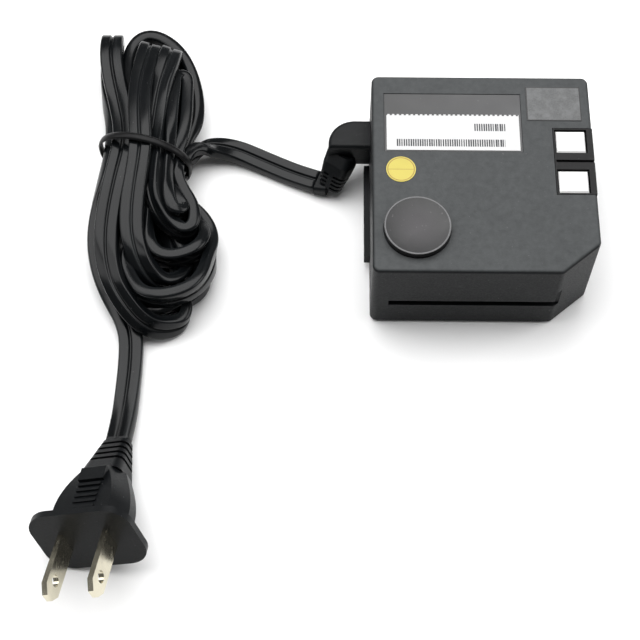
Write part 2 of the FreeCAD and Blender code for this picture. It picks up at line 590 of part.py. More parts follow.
outer = Part.makeLoft([rounded_section(relief_place(x, y, share), RELIEF_AHEAD, wide, tall, 1.7)
                       for x, y, share, wide, tall in RELIEF], True, True)
inner_form = Part.makeLoft([plain_section(relief_place(x, y, share), RELIEF_AHEAD, wide - 2 * skin,
                                          tall - 2 * skin) for x, y, share, wide, tall in RELIEF], True, True)
spine = Part.makeLoft([plain_section(relief_place(x, y, share), RELIEF_AHEAD, size("relief_spine"), tall + 2)
                       for x, y, share, wide, tall in RELIEF], True, True)
slot_start, along = relief_place(*RELIEF[1][:3]), Vector(RELIEF_AHEAD).normalize()
for number in range(RELIEF_SLOTS):
    place = slot_start + along * (RELIEF_FIRST + number * RELIEF_PITCH)
    slab = Part.Face(plain_section(place, along, 14, 14)).extrude(along * size("relief_slot"))
    outer = outer.cut(slab.cut(inner_form).cut(spine))
CORD_OUT, CORD_AHEAD = Vector(INLET.x - 14.9, INLET.y - 7.25, TIP_Z), Vector(-0.93, 0.35, -0.1)
mouth_start = CORD_OUT - Vector(CORD_AHEAD).normalize() * 3.4 + Vector(0, 0, 0.4)
outer = outer.fuse(Part.makeLoft([rounded_section(mouth_start, CORD_AHEAD, 6.4, 3.8, 1.2),
                                  rounded_section(CORD_OUT, CORD_AHEAD, 7.2, 4.0, 1.2)], True, True))
nose_end = size("case_wall") + size("nose_length")
nose = upright_oval(size("nose_radius"), size("pin_pitch"), INLET).extrude(Vector(nose_end, 0, 0))
connector = head.fuse([nose, outer]).removeSplitter()
sleeve_in = size("pin_radius") + size("sleeve_gap")
sleeve_out = sleeve_in + size("sleeve_wall")
sleeve_start = Vector(WALL_X + nose_end - 8.5, size("inlet_y"), 0)
for number, side in ((1, -1), (2, 1)):
    start = sleeve_start + Vector(0, 0, size("inlet_z") + side * size("pin_pitch") / 2)
    bore = Part.makeCylinder(sleeve_out, 8.5, start, Vector(1, 0, 0))
    connector = connector.cut(bore)
    made("contact_sleeve_%d" % number,
         bore.cut(Part.makeCylinder(sleeve_in, 8.5, start, Vector(1, 0, 0))))
made("cord_connector", connector)

# Cord: straight runs joined by tangent arcs

def cord_path(points, name):
    """Path through the points, each arc as large as its two runs allow."""
    edges, radii, start = [], [], points[0]
    for before, corner, after in zip(points, points[1:], points[2:]):
        back, ahead = before - corner, after - corner
        half_turn = (math.pi - back.getAngle(ahead)) / 2
        reach = 0.45 * min(back.Length, ahead.Length)
        radius = reach / math.tan(half_turn)
        back.normalize()
        ahead.normalize()
        inward = (back + ahead).normalize() * (radius / math.cos(half_turn) - radius)
        edges.append(Part.LineSegment(start, corner + back * reach).toShape())
        edges.append(Part.Arc(corner + back * reach, corner + inward, corner + ahead * reach).toShape())
        start = corner + ahead * reach
        radii.append(round(radius, 1))
    edges.append(Part.LineSegment(start, points[-1]).toShape())
    print(name, "radii", radii)
    return Part.Wire(edges)


def flat_section(centre, ahead):
    """Outline across the cord: a flat bar with its long edges cut off."""
    ahead = Vector(ahead).normalize()
    side = Vector(0, 0, 1).cross(ahead).normalize()
    rise = ahead.cross(side).normalize()
    wide, thick = size("cord_width") / 2, size("cord_thick") / 2
    cut = thick * 0.6
    corners = [(wide, thick - cut), (wide - cut, thick), (cut - wide, thick), (-wide, thick - cut),
               (-wide, cut - thick), (cut - wide, -thick), (wide - cut, -thick), (wide, cut - thick)]
    return Part.makePolygon([centre + side * x + rise * y for x, y in corners + corners[:1]])


def cord_tube(label, points):
    """Flat cord lying on its wide side along the path."""
    path = cord_path(points, label)
    section = flat_section(points[0], points[1] - points[0])
    sweep = Part.BRepOffsetAPI.MakePipeShell(path)
    sweep.setFrenetMode(False)
    sweep.add(section)
    sweep.build()
    sweep.makeSolid()
    shape = sweep.shape()
    print(label, "length", round(path.Length, 1), "volume", round(shape.Volume, 1),
          "section times length", round(Part.Face(section).Area * path.Length, 1))
    return shape


relief_end, relief_ahead = CORD_OUT, Vector(CORD_AHEAD).normalize()
lead = cord_tube("cord_lead", [relief_end, relief_end + relief_ahead * 6.5, Vector(-60.2, 19.6, 1.8),
                               Vector(-69.0, 23.2, 3.4), Vector(-76.6, 22.6, 6.6),
                               Vector(-82.6, 19.4, 9.4)])

# Hank: ovals lying on the floor, as place along Y, left side, right side and height
HANK = [(61.5, -107.5, -92.0, 7.5), (59.0, -111.0, -88.2, 12.0), (50.0, -111.0, -82.4, 16.5),
        (38.0, -109.2, -79.3, 18.0), (26.0, -108.2, -79.2, 18.0), (16.6, -107.4, -81.3, 17.6),
        (5.0, -108.8, -80.2, 17.0), (-7.0, -109.2, -76.6, 15.5), (-18.0, -107.2, -74.0, 13.5),
        (-27.0, -103.6, -76.8, 11.5), (-34.0, -99.0, -81.8, 9.0), (-37.5, -95.5, -86.5, 7.5)]


def floor_oval(place, left, right, tall):
    """Twelve-sided oval standing across Y with its lowest side on the floor."""
    turns = [(i + 0.5) * math.pi / 6 for i in range(13)]
    return Part.makePolygon([Vector((left + right + (right - left) * math.cos(turn)) / 2, place,
                                    tall / 2 * (1 + math.sin(turn) / math.cos(math.pi / 12)))
                             for turn in turns])


def tie_ring(grow):
    """Band across the waist of the hank, turned a little."""
    ring = Part.Ellipse(Vector(0, 0, 0), 12.9 + grow, 9.2 + grow).toShape()
    solid = Part.Face(Part.Wire([ring])).extrude(Vector(0, 0, size("tie_width")))
    solid.Placement = Placement(Vector(-94.4, 16.6, 9.2 + size("tie_thick")),
                                Rotation(Vector(0, 0, 1), -17) * Rotation(Vector(1, 0, 0), 90))
    return solid


tie = tie_ring(size("tie_thick")).cut(tie_ring(0))
hank = Part.makeLoft([floor_oval(*row) for row in HANK], True, True).cut(tie)
made("cord_tie", tie)
made("cord_hank", hank)
made("cord_lead", lead.cut(hank))

# Plug: built with its face at the origin and its blades along -Y, then laid on the floor

PLUG = Placement(Vector(size("plug_x"), size("plug_y"), size("plug_z")),
                 Rotation(Vector(0, 0, 1), -size("plug_yaw")) *
                 Rotation(Vector(1, 0, 0), -size("plug_tilt")) *
                 Rotation(Vector(0, 1, 0), -size("plug_roll")))

plug = doc.addObject("PartDesign::Body", "plug_body")
plug.Label = "plug_body"
outline = sketch_on(plug, "XZ_Plane", "flange_outline", "-flange_thick")
rectangle(outline, "-flange_width / 2", "flange_width / 2", "-flange_tall / 2", "flange_tall / 2")
flange = feature(plug, "Pad", "flange", outline, "flange_thick")
along_y = lambda edge: edge.BoundBox.YLength > 1 and edge.BoundBox.XLength < 1e-4
flange = rounded(plug, flange, "flange_corners", "flange_round", along_y)

SECTIONS = [("flange_thick - 0.2", 21.0, "grip_tall"), ("8", 21.4, "grip_tall"),
            ("14.5", 17.6, "grip_tall - 1"), ("grip_end", 12.6, "grip_tall - 3.5")]
profiles = []
for number, (place, wide, tall) in enumerate(SECTIONS, 1):
    profile = sketch_on(plug, "XZ_Plane", "grip_section_%d" % number, "-(%s)" % place)
    half, rise = "%s / 2" % wide, "(%s) / 2" % tall
    polygon(profile, [("-(%s) + 3" % half, "-" + rise), ("%s - 3" % half, "-" + rise),
                      (half, "-%s * 0.25" % rise), (half, "%s * 0.25" % rise),
                      ("%s - 3" % half, rise), ("-(%s) + 3" % half, rise),
                      ("-(%s)" % half, "%s * 0.25" % rise), ("-(%s)" % half, "-%s * 0.25" % rise)])
    profiles.append(profile)
doc.recompute()
grip = plug.newObject("PartDesign::AdditiveLoft", "grip")
grip.Profile = profiles[0]
grip.Sections = profiles[1:]
doc.recompute()

pad_sketch = sketch_on(plug, "XY_Plane", "thumb_pad_outline", "grip_tall / 2 - 2.5")
rectangle(pad_sketch, "-3", "4.2", "13.6", "17.6")
feature(plug, "Pad", "thumb_pad", pad_sketch, "3.1")
grips = sketch_on(plug, "XY_Plane", "grip_bars_outline", "grip_tall / 2 - 1")
rectangle(grips, "-2.6", "3.8", "4.6", "5.4")
bars = feature(plug, "Pad", "grip_bar", grips, "1.45")
pattern = plug.newObject("PartDesign::LinearPattern", "grip_bars")
pattern.Originals = [bars]
pattern.Direction = (grips, ["V_Axis"])
pattern.Length = 7.2
pattern.Occurrences = 5
plug.Tip = pattern
doc.recompute()

relief_start, relief_stop = size("grip_end") - 0.4, size("plug_length")


def plug_relief(thinner):
    """Tapered relief of the plug, with all four sides moved in."""
    wide, tall = size("relief_end_width") - 2 * thinner, size("relief_end_tall") - 2 * thinner
    return Part.makeLoft([
        rounded_section(Vector(0, relief_start, 0), Vector(0, 1, 0), 11.8 - 2 * thinner,
                        10.4 - 2 * thinner, 2.2 - thinner / 2),
        rounded_section(Vector(0, relief_stop, 0), Vector(0, 1, 0), wide, tall, 1.9 - thinner / 2)], True)


ribs = plug_relief(0)
for number in range(int(size("rib_count"))):
    start = relief_stop - size("rib_thick") - (number + 1) * size("rib_space") - number * size("rib_thick")
    gap = Part.makeBox(30, size("rib_space"), 30, Vector(-15, start, -15))
    ribs = ribs.cut(gap.cut(plug_relief(size("rib_deep"))))

blade_form = {}
for number, side in ((1, -1), (2, 1)):
    blade = doc.addObject("PartDesign::Body", "plug_blade_%d" % number)
    blade.Label = "plug_blade_%d" % number
    middle = "(%d) * blade_pitch / 2 + blade_thick / 2" % side
    outline = sketch_on(blade, "YZ_Plane", "blade_outline_%d" % number, middle)
    half = "blade_width / 2"
    polygon(outline, [("blade_root", half), ("-blade_length + blade_taper", half),
                      ("-blade_length", "blade_tip / 2"), ("-blade_length", "-blade_tip / 2"),
                      ("-blade_length + blade_taper", "-" + half), ("blade_root", "-" + half)])
    feature(blade, "Pad", "blade_plate_%d" % number, outline, "blade_thick", backwards=True)
    hole = sketch_on(blade, "YZ_Plane", "blade_hole_outline_%d" % number, middle + " + 1")
    circle(hole, "-blade_hole_at", "0", "blade_hole")
    feature(blade, "Pocket", "blade_hole_cut_%d" % number, hole, "blade_thick + 2")
    blade_form[number] = blade

doc.recompute()
moulding = plug.Shape.fuse(ribs)
for blade in blade_form.values():
    root = blade.Shape.copy()
    moulding = moulding.cut(root)
    blade.Placement = PLUG
plug.Label = "plug_form"
made("plug_body", moulding.removeSplitter(), PLUG)

plug_back = PLUG.multVec(Vector(0, size("plug_length"), 0))
plug_ahead = PLUG.Rotation.multVec(Vector(0, 1, 0))
print("plug end", plug_back, "heading", plug_ahead)
run = cord_tube("cord_plug_run", [Vector(-95.6, -33.6, 4.0), Vector(-95.9, -43.2, 2.4),
                                  Vector(-96.4, -54.0, 1.9), plug_back + plug_ahead * 5, plug_back])
made("cord_plug_run", run.cut(hank))

# Check and write every piece

NODES = [
    "upper_case", "lower_case", "rubber_foot", "rating_label", "bar_sticker", "round_sticker",
    "marking_patch", "output_frame", "output_insert_1", "output_insert_2", "output_contact_1",
    "output_contact_2", "output_contact_3", "inlet_housing", "inlet_pin_1", "inlet_pin_2",
    "circuit_board", "interference_capacitor", "bridge_rectifier", "optocoupler", "fuse",
    "bulk_capacitor", "output_capacitor_1", "output_capacitor_2", "bridging_capacitor",
    "choke_core", "choke_winding", "transformer_core", "transformer_bobbin",
    "transformer_winding", "primary_heat_sink", "secondary_heat_sink", "switching_transistor",
    "output_rectifier", "cord_connector", "contact_sleeve_1", "contact_sleeve_2", "cord_lead",
    "cord_hank", "cord_plug_run", "cord_tie", "plug_body", "plug_blade_1", "plug_blade_2",
]
doc.recompute()
for item in doc.Objects:
    if "Invalid" in item.State or "Error" in item.State:
        raise RuntimeError("%s did not build: %s" % (item.Label, item.State))
os.makedirs("parts", exist_ok=True)
for node in NODES:
    found = [item for item in doc.Objects if item.Label == node and hasattr(item, "Shape")]
    shape = found[0].Shape
    if shape.isNull() or not shape.isValid() or shape.Volume <= 0:
        raise RuntimeError("%s has no sound solid" % node)
    shape.exportStep("parts/%s.step" % node)
    box = shape.BoundBox
    print("%-24s solids %d volume %9.1f  x %7.1f %7.1f  y %7.1f %7.1f  z %6.2f %6.2f" % (
        node, len(shape.Solids), shape.Volume, box.XMin, box.XMax, box.YMin, box.YMax, box.ZMin, box.ZMax))
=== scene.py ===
import math
import bpy
from bpy.props import FloatProperty, FloatVectorProperty, IntProperty, PointerProperty
from mathutils import Matrix, Vector


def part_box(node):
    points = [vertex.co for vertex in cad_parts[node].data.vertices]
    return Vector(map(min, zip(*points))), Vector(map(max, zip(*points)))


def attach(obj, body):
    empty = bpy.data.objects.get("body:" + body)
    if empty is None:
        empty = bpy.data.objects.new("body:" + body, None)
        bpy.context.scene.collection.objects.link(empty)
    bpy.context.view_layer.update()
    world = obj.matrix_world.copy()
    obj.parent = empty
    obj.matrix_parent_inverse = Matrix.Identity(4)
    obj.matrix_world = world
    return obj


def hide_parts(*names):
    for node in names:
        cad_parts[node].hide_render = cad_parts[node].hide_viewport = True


bl_info = {
    "name": "Power adapter studio",
    "version": (1, 0, 0),
    "blender": (4, 5, 0),
    "location": "View3D > Sidebar > Adapter",
    "description": "Dresses the power adapter with its cord, stickers and finishes, and sets the studio",
    "category": "Object",
}

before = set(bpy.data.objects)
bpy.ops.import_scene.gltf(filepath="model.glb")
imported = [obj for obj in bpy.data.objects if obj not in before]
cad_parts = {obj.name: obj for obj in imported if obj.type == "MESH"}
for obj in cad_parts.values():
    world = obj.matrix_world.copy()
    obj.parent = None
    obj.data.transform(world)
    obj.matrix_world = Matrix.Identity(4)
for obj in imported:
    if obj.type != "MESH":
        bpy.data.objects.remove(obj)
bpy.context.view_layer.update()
MM = 0.001
BODY = "root"


# Places and sizes of what is printed or dished on the case, and of the light painted on its foot and top

FOOT, FOOT_DISH, FOOT_RIM_HIGHLIGHT = Vector((-17.7, -18.4, 0.0)) * MM, 8.5 * MM, 0.35 * MM
DISC, DISC_RADIUS = Vector((-21.8, 0.3, 0.0)) * MM, 4.05 * MM
STICKER_LONG, STICKER_TOP = 36.8 * MM, 18.45 * MM
TOOTH_PITCH, TOOTH_DEPTH = 1.3 * MM, 0.4 * MM
LONG_BARS = [value * MM for value in (-23.1, 7.1, 7.85, 10.2)]
SHORT_BARS = [value * MM for value in (-1.3, 7.3, 13.0, 15.4)]
LABEL_DARK_X, LABEL_PALE_X = -28 * MM, 12 * MM
PATCH_EDGE = 0.3 * MM
# Heights over which the top face takes its painted light
LIT_TOP_FROM, LIT_TOP_TO = 29.1 * MM, 29.47 * MM
DUST = (0.2, 0.2, 0.2)


# Finishes: sums on sockets, and one method for every other node

class Value:
    """A socket that can be added, multiplied and compared."""

    def __init__(self, finish, socket):
        self.finish, self.socket = finish, socket

    def math(self, operation, *terms):
        return self.finish.node("ShaderNodeMath", {"operation": operation},
                                dict(enumerate(terms)))["Value"]

    def __add__(self, other):
        return self.math("ADD", self, other)

    def __mul__(self, other):
        return self.math("MULTIPLY", self, other)

    def __gt__(self, other):
        return self.math("GREATER_THAN", self, other)

    def __lt__(self, other):
        return self.math("LESS_THAN", self, other)

    def call(self, operation):
        return self.math(operation, self)

    __radd__, __rmul__ = __add__, __mul__


class Outputs:
    """A node's outputs by name."""

    def __init__(self, finish, node):
        self.finish, self.made = finish, node

    def __getitem__(self, name):
        return Value(self.finish, self.made.outputs[name])


class Finish:
    """A material under construction."""

    def __init__(self, name):
        self.material = bpy.data.materials.new(name)
        self.material.use_nodes = True
        self.tree = self.material.node_tree
        self.shader = self.tree.nodes["Principled BSDF"]

    def feed(self, socket, value):
        if isinstance(value, Value):
            self.tree.links.new(value.socket, socket)
        elif socket.type == "RGBA":
            socket.default_value = (*value[:3], 1.0)
        else:
            socket.default_value = value

    def node(self, kind, settings=None, sockets=None):
        """A node with its settings made first, then its sockets."""
        made = self.tree.nodes.new(kind)
        for name, value in (settings or {}).items():
            setattr(made, name, value)
        for name, value in (sockets or {}).items():
            self.feed(made.inputs[name], value)
        return Outputs(self, made)

    def place(self, size=(1.0, 1.0, 1.0), middle=(0.0, 0.0, 0.0)):
        """Object coordinates, centred and stretched."""
        here = self.node("ShaderNodeTexCoord")["Object"]
        return self.node("ShaderNodeMapping", {"vector_type": "TEXTURE"}, {
            "Vector": here, "Location": middle, "Scale": size})["Vector"]

    def along(self):
        """The piece's own map, which runs along a cord in metres."""
        return self.node("ShaderNodeUVMap")["UV"]

    def axes(self, vector):
        parts = self.node("ShaderNodeSeparateXYZ", None, {"Vector": vector})
        return parts["X"], parts["Y"], parts["Z"]

    def flat_vector(self, x, y):
        return self.node("ShaderNodeCombineXYZ", None, {"X": x, "Y": y})["Vector"]

    def noise(self, vector, scale, detail=3.0, rough=0.5):
        return self.node("ShaderNodeTexNoise", None, {
            "Vector": vector, "Scale": scale, "Detail": detail, "Roughness": rough})["Fac"]

    def ramp(self, value, low, high, start=0.0, stop=1.0):
        return self.node("ShaderNodeMapRange", {"clamp": True}, {
            "Value": value, "From Min": low, "From Max": high, "To Min": start, "To Max": stop})["Result"]

    def blend(self, share, one, other):
        """Colour one where share is 0 and the other where it is 1."""
        made = self.tree.nodes.new("ShaderNodeMix")
        made.data_type = "RGBA"
        for socket, value in zip([made.inputs[i] for i in (0, 6, 7)], (share, one, other)):
            self.feed(socket, value)
        return Value(self, made.outputs[2])

    def dusted(self, tint, grains, low, high, share=0.2, colour=DUST):
        """A tint with small specks of dust."""
        specks = self.ramp(self.noise(self.place(), grains, 1.0), low, high)
        return self.blend(specks * share, tint, colour)

    def bump(self, height, strength, distance, before=None):
        sockets = {"Height": height, "Strength": strength, "Distance": distance}
        if before:
            sockets["Normal"] = before
        return self.node("ShaderNodeBump", None, sockets)["Normal"]

    def set(self, **values):
        for name, value in values.items():
            self.feed(self.shader.inputs[name.replace("_", " ")], value)
        return self.material


def between(value, low, high):
    """1 where the value lies between two limits."""
    return (value > low) * (value < high)


def inside(x, y, left, right, low, high):
    """1 inside a rectangle."""
    return between(x, left, right) * between(y, low, high)


def reach(x, y):
    return (x * x + y * y).call("SQRT")


# Finishes of this adapter

def moulded(name, colour, rough, grain, deep, lit_top=None):
    """Spark-eroded plastic: fine grain, faint cloudy sheen, dust and paler rubbed patches.

    The lit top colour is painted light: the face turned up is given a paler colour, in patches, for the
    light that falls on its texture.
    """
    f = Finish(name)
    here = f.place()
    cloud = f.noise(here, 55.0, 4.0)
    fine = f.noise(here, grain, 2.0, 0.6)
    rub = f.ramp(f.noise(f.place((1.0, 0.35, 1.0)), 210.0, 5.0, 0.65), 0.6, 0.74)
    tint = f.blend(f.ramp(cloud, 0.3, 0.7), colour, [c * 1.22 for c in colour])
    # Painted light: the face turned up is made paler, in patches, for the light it gets from above
    if lit_top:
        height = f.axes(here)[2]
        patchy_light = f.ramp(f.noise(here, 520.0, 5.0, 0.7), 0.3, 0.7, 0.72, 1.0)
        share = f.ramp(height, LIT_TOP_FROM, LIT_TOP_TO) * patchy_light * f.ramp(cloud, 0.3, 0.7, 0.88, 1.0)
        tint = f.blend(share, tint, lit_top)
    tint = f.blend(rub * 0.25, tint, [min(1.0, c * 2.0 + 0.006) for c in colour])
    return f.set(Base_Color=f.dusted(tint, 1500.0, 0.775, 0.80, 0.25), Specular_IOR_Level=0.14,
                 Roughness=f.ramp(fine, 0.3, 0.7, rough - 0.07, rough + 0.07) + rub * -0.05,
                 Normal=f.bump(fine, 0.55, deep * MM))


def rubber_finish():
    """Matt rubber with painted light: paler in the middle of its dish, and a painted highlight along its
    rim.
    """
    f = Finish("foot_rubber")
    here = f.place()
    x, y = f.axes(f.place(middle=FOOT))[:2]
    out = reach(x, y)
    # Painted light: the middle of the dish is made paler for the light in its hollow
    lit_middle = f.ramp(out, 0.0, FOOT_DISH, 1.0, 0.0)
    cloud = f.noise(here, 160.0, 4.0)
    tint = f.blend(lit_middle, (0.005, 0.005, 0.0053), (0.022, 0.019, 0.022))
    tint = f.blend(f.ramp(cloud, 0.5, 0.75) * 0.25, tint, (0.05, 0.046, 0.05))
    # Painted highlight: a pale ring along the rim of the dish
    tint = f.blend(between(out, FOOT_DISH, FOOT_DISH + FOOT_RIM_HIGHLIGHT) * 0.7, tint, (0.13, 0.13, 0.135))
    tint = f.dusted(tint, 1300.0, 0.72, 0.76, colour=(0.2, 0.19, 0.2))
    return f.set(Base_Color=tint, Roughness=f.ramp(cloud, 0.3, 0.7, 0.38, 0.52),
                 Normal=f.bump(f.noise(here, 2600.0), 0.25, 0.02 * MM))


def film_finish():
    """Dark label film, a little paler towards the right, with fine dust."""
    f = Finish("label_film")
    here = f.place()
    side = f.ramp(f.axes(here)[0], LABEL_DARK_X, LABEL_PALE_X)
    tint = f.blend(side, (0.0085, 0.0085, 0.009), (0.026, 0.026, 0.0275))
    return f.set(Base_Color=f.dusted(tint, 1100.0, 0.76, 0.8),
                 Roughness=f.ramp(f.noise(here, 90.0), 0.3, 0.7, 0.28, 0.4),
                 Normal=f.bump(f.noise(here, 60.0), 0.15, 0.05 * MM))


def paper_finish(name, colour, shade):
    """Coated paper with fibres and faint stains, given back with its tint to print on."""
    f = Finish(name)
    fibre = f.noise(f.place((1.0, 0.4, 1.0)), 1600.0, 4.0, 0.6)
    stain = f.ramp(f.noise(f.place(), 130.0, 3.0), 0.5, 0.72)
    tint = f.blend(stain * 0.5, colour, shade)
    tint = f.blend(f.ramp(fibre, 0.55, 0.8) * 0.25, tint, shade)
    f.set(Roughness=f.ramp(fibre, 0.3, 0.7, 0.45, 0.55), Normal=f.bump(fibre, 0.25, 0.02 * MM))
    return f, tint


def barred_finish(colour, count):
    """White paper with two rows of printed bars of uneven width and a cut edge of small teeth."""
    f, tint = paper_finish("white_paper", colour, (0.54, 0.55, 0.56))
    x, y = f.axes(f.place())[:2]
    cells = x * (count / STICKER_LONG)
    uneven = f.noise(f.flat_vector(cells.call("FLOOR") * 7.31, 0.0), 3.0)
    bar = cells.call("FRACT") < f.ramp(uneven, 0.3, 0.7, 0.35, 0.9)
    rows = inside(x, y, *LONG_BARS) + inside(x, y, *SHORT_BARS)
    tint = f.blend(bar * rows, tint, (0.025, 0.025, 0.03))
    teeth = ((x * (1 / TOOTH_PITCH)).call("FRACT") < 0.5) * (y > STICKER_TOP - TOOTH_DEPTH)
    return f.set(Base_Color=f.blend(teeth, tint, (0.03, 0.03, 0.03)))


def disc_finish(colour):
    """Yellow paper with a thin brown outline and one printed line."""
    f, tint = paper_finish("yellow_paper", colour, [c * 0.88 for c in colour])
    x, y = f.axes(f.place(middle=DISC))[:2]
    out = reach(x, y)
    rim = between(out, DISC_RADIUS - 0.55 * MM, DISC_RADIUS - 0.3 * MM)
    line = between(y, -0.15 * MM, 0.05 * MM) * (out < DISC_RADIUS - 0.5 * MM)
    return f.set(Base_Color=f.blend(rim * 0.75 + line * 0.55, tint, (0.22, 0.10, 0.01)))


def patch_finish():
    """Grey film with a mottled print screen and a thin dark outline."""
    f = Finish("marking_patch")
    here = f.place()
    x, y = f.axes(here)[:2]
    fine = f.noise(here, 2400.0, 2.0)
    cloud = f.noise(here, 420.0, 4.0, 0.6)
    tint = f.blend(f.ramp(fine, 0.35, 0.65), (0.055, 0.057, 0.058), (0.075, 0.077, 0.078))
    tint = f.blend(f.ramp(cloud, 0.42, 0.7), tint, (0.10, 0.102, 0.105))
    low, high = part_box("marking_patch")
    within = inside(x, y, low[0] + PATCH_EDGE, high[0] - PATCH_EDGE,
                    low[1] + PATCH_EDGE, high[1] - PATCH_EDGE)
    tint = f.blend(within, (0.006, 0.006, 0.0065), tint)
    return f.set(Base_Color=tint, Roughness=0.45, Normal=f.bump(cloud, 0.2, 0.03 * MM))


def cord_finish():
    """Flexible sheath: dull sheen with lengthwise draw lines, and dust rubbed on."""
    f = Finish("cord_sheath")
    round_it, along_it = f.axes(f.along())[:2]
    draw = f.noise(f.flat_vector(round_it * 260.0, along_it * 3.0), 1.0, 3.0)
    here = f.place()
    cloud = f.noise(here, 75.0, 4.0)
    tint = f.blend(f.ramp(cloud, 0.35, 0.7), (0.0024, 0.0029, 0.0034), (0.0046, 0.0053, 0.0060))
    tint = f.blend(f.ramp(draw, 0.5, 0.72) * 0.6, tint, (0.022, 0.0245, 0.026))
    return f.set(Base_Color=f.dusted(tint, 1400.0, 0.77, 0.80), Specular_IOR_Level=0.2,
                 Roughness=f.ramp(draw, 0.3, 0.7, 0.15, 0.25),
                 Normal=f.bump(draw, 0.25, 0.05 * MM, f.bump(f.noise(here, 2200.0), 0.12, 0.02 * MM)))


def blade_finish():
    """Plated sheet with drawn scratches and cloudy wear."""
    f = Finish("blade_metal")
    scratch = f.noise(f.place((1.0, 6.0, 1.0)), 1980.0, 3.0, 0.6)
    cloud = f.noise(f.place(), 160.0, 4.0)
    tint = f.blend(f.ramp(cloud, 0.4, 0.7), (0.66, 0.62, 0.49), (0.54, 0.50, 0.39))
    return f.set(Base_Color=tint, Metallic=1.0, Roughness=f.ramp(scratch, 0.35, 0.75, 0.17, 0.30),
                 Normal=f.bump(scratch, 0.18, 0.02 * MM))


def painted(name, colour, rough, metal=0.0, scale=800.0, other=None):
    """Plain moulded or lacquered part with slight unevenness."""
    f = Finish(name)
    cloud = f.noise(f.place(), scale, 3.0)
    tint = f.blend(f.ramp(cloud, 0.35, 0.65), colour, other or [c * 0.75 for c in colour])
    return f.set(Base_Color=tint, Metallic=metal,
                 Roughness=f.ramp(cloud, 0.3, 0.7, rough - 0.05, rough + 0.08),
                 Normal=f.bump(cloud, 0.15, 0.03 * MM))


# Modelling helpers

def deselect():
    for item in bpy.context.selected_objects:
        item.select_set(False)


def chosen(piece):
    """Make a piece the active one and the only one selected."""
    deselect()
    bpy.context.view_layer.objects.active = piece
    piece.select_set(True)


def started(name):
    """The primitive just added, named and put with its place in its mesh."""
    piece = bpy.context.object
    piece.name = piece.data.name = name
    bpy.ops.object.transform_apply(location=True, rotation=True, scale=True)
    return piece


def faced_outwards(piece):
    chosen(piece)
    bpy.ops.object.mode_set(mode="EDIT")
    bpy.ops.mesh.select_all(action="SELECT")
    bpy.ops.mesh.normals_make_consistent(inside=False)
    bpy.ops.object.mode_set(mode="OBJECT")


def finished(piece, material, slot, *nodes):
    """Give a piece its material and its body, and hide the nodes that it stands for. The slot is not used.
    """
    piece.data.materials.clear()
    piece.data.materials.append(material)
    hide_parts(*nodes)
    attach(piece, BODY)


def dress(node, material):
    """A carried-over node keeps its shape and gets its own finish."""
    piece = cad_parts[node]
    piece.data.materials.clear()
    piece.data.materials.append(material)


# Sizes and colours that a user would change

class CaseSettings(bpy.types.PropertyGroup):
    colour: FloatVectorProperty(name="Case colour", description="Moulded case plastic", subtype="COLOR",
                                default=(0.0062, 0.0070, 0.0078), min=0, max=1)
    grain: FloatProperty(name="Grain", description="Grains of the moulded texture in a metre",
                         default=2300.0, min=100)


class LabelSettings(bpy.types.PropertyGroup):
    white: FloatVectorProperty(name="Sticker white", description="Paper of the bar sticker", subtype="COLOR",
                               default=(0.56, 0.56, 0.56), min=0, max=1)
    yellow: FloatVectorProperty(name="Round sticker", description="Paper of the round sticker",
                                subtype="COLOR", default=(0.50, 0.42, 0.065), min=0, max=1)
    bars: IntProperty(name="Bars", description="Printed bars along the sticker", default=58, min=8)


class CordSettings(bpy.types.PropertyGroup):
    width: FloatProperty(name="Cord width", description="Across both conductors", default=6.8 * MM,
                         unit="LENGTH")
    thick: FloatProperty(name="Cord thickness", description="Through one conductor", default=3.4 * MM,
                         unit="LENGTH")
    groove: FloatProperty(name="Groove", description="Half the thickness left between the conductors",
                          default=1.1 * MM, unit="LENGTH")
    length: FloatProperty(name="Cord length", description="From relief to plug", default=1.28,
                          unit="LENGTH")


class StudioSettings(bpy.types.PropertyGroup):
    floor: FloatVectorProperty(name="Floor", description="Pale floor", subtype="COLOR",
                               default=(0.93, 0.93, 0.93), min=0, max=1)
    light: FloatProperty(name="Light", description="Power of the large lamp overhead", default=10.5,
                         subtype="POWER")


# Cord: control points in millimetres with the direction across the cord at each

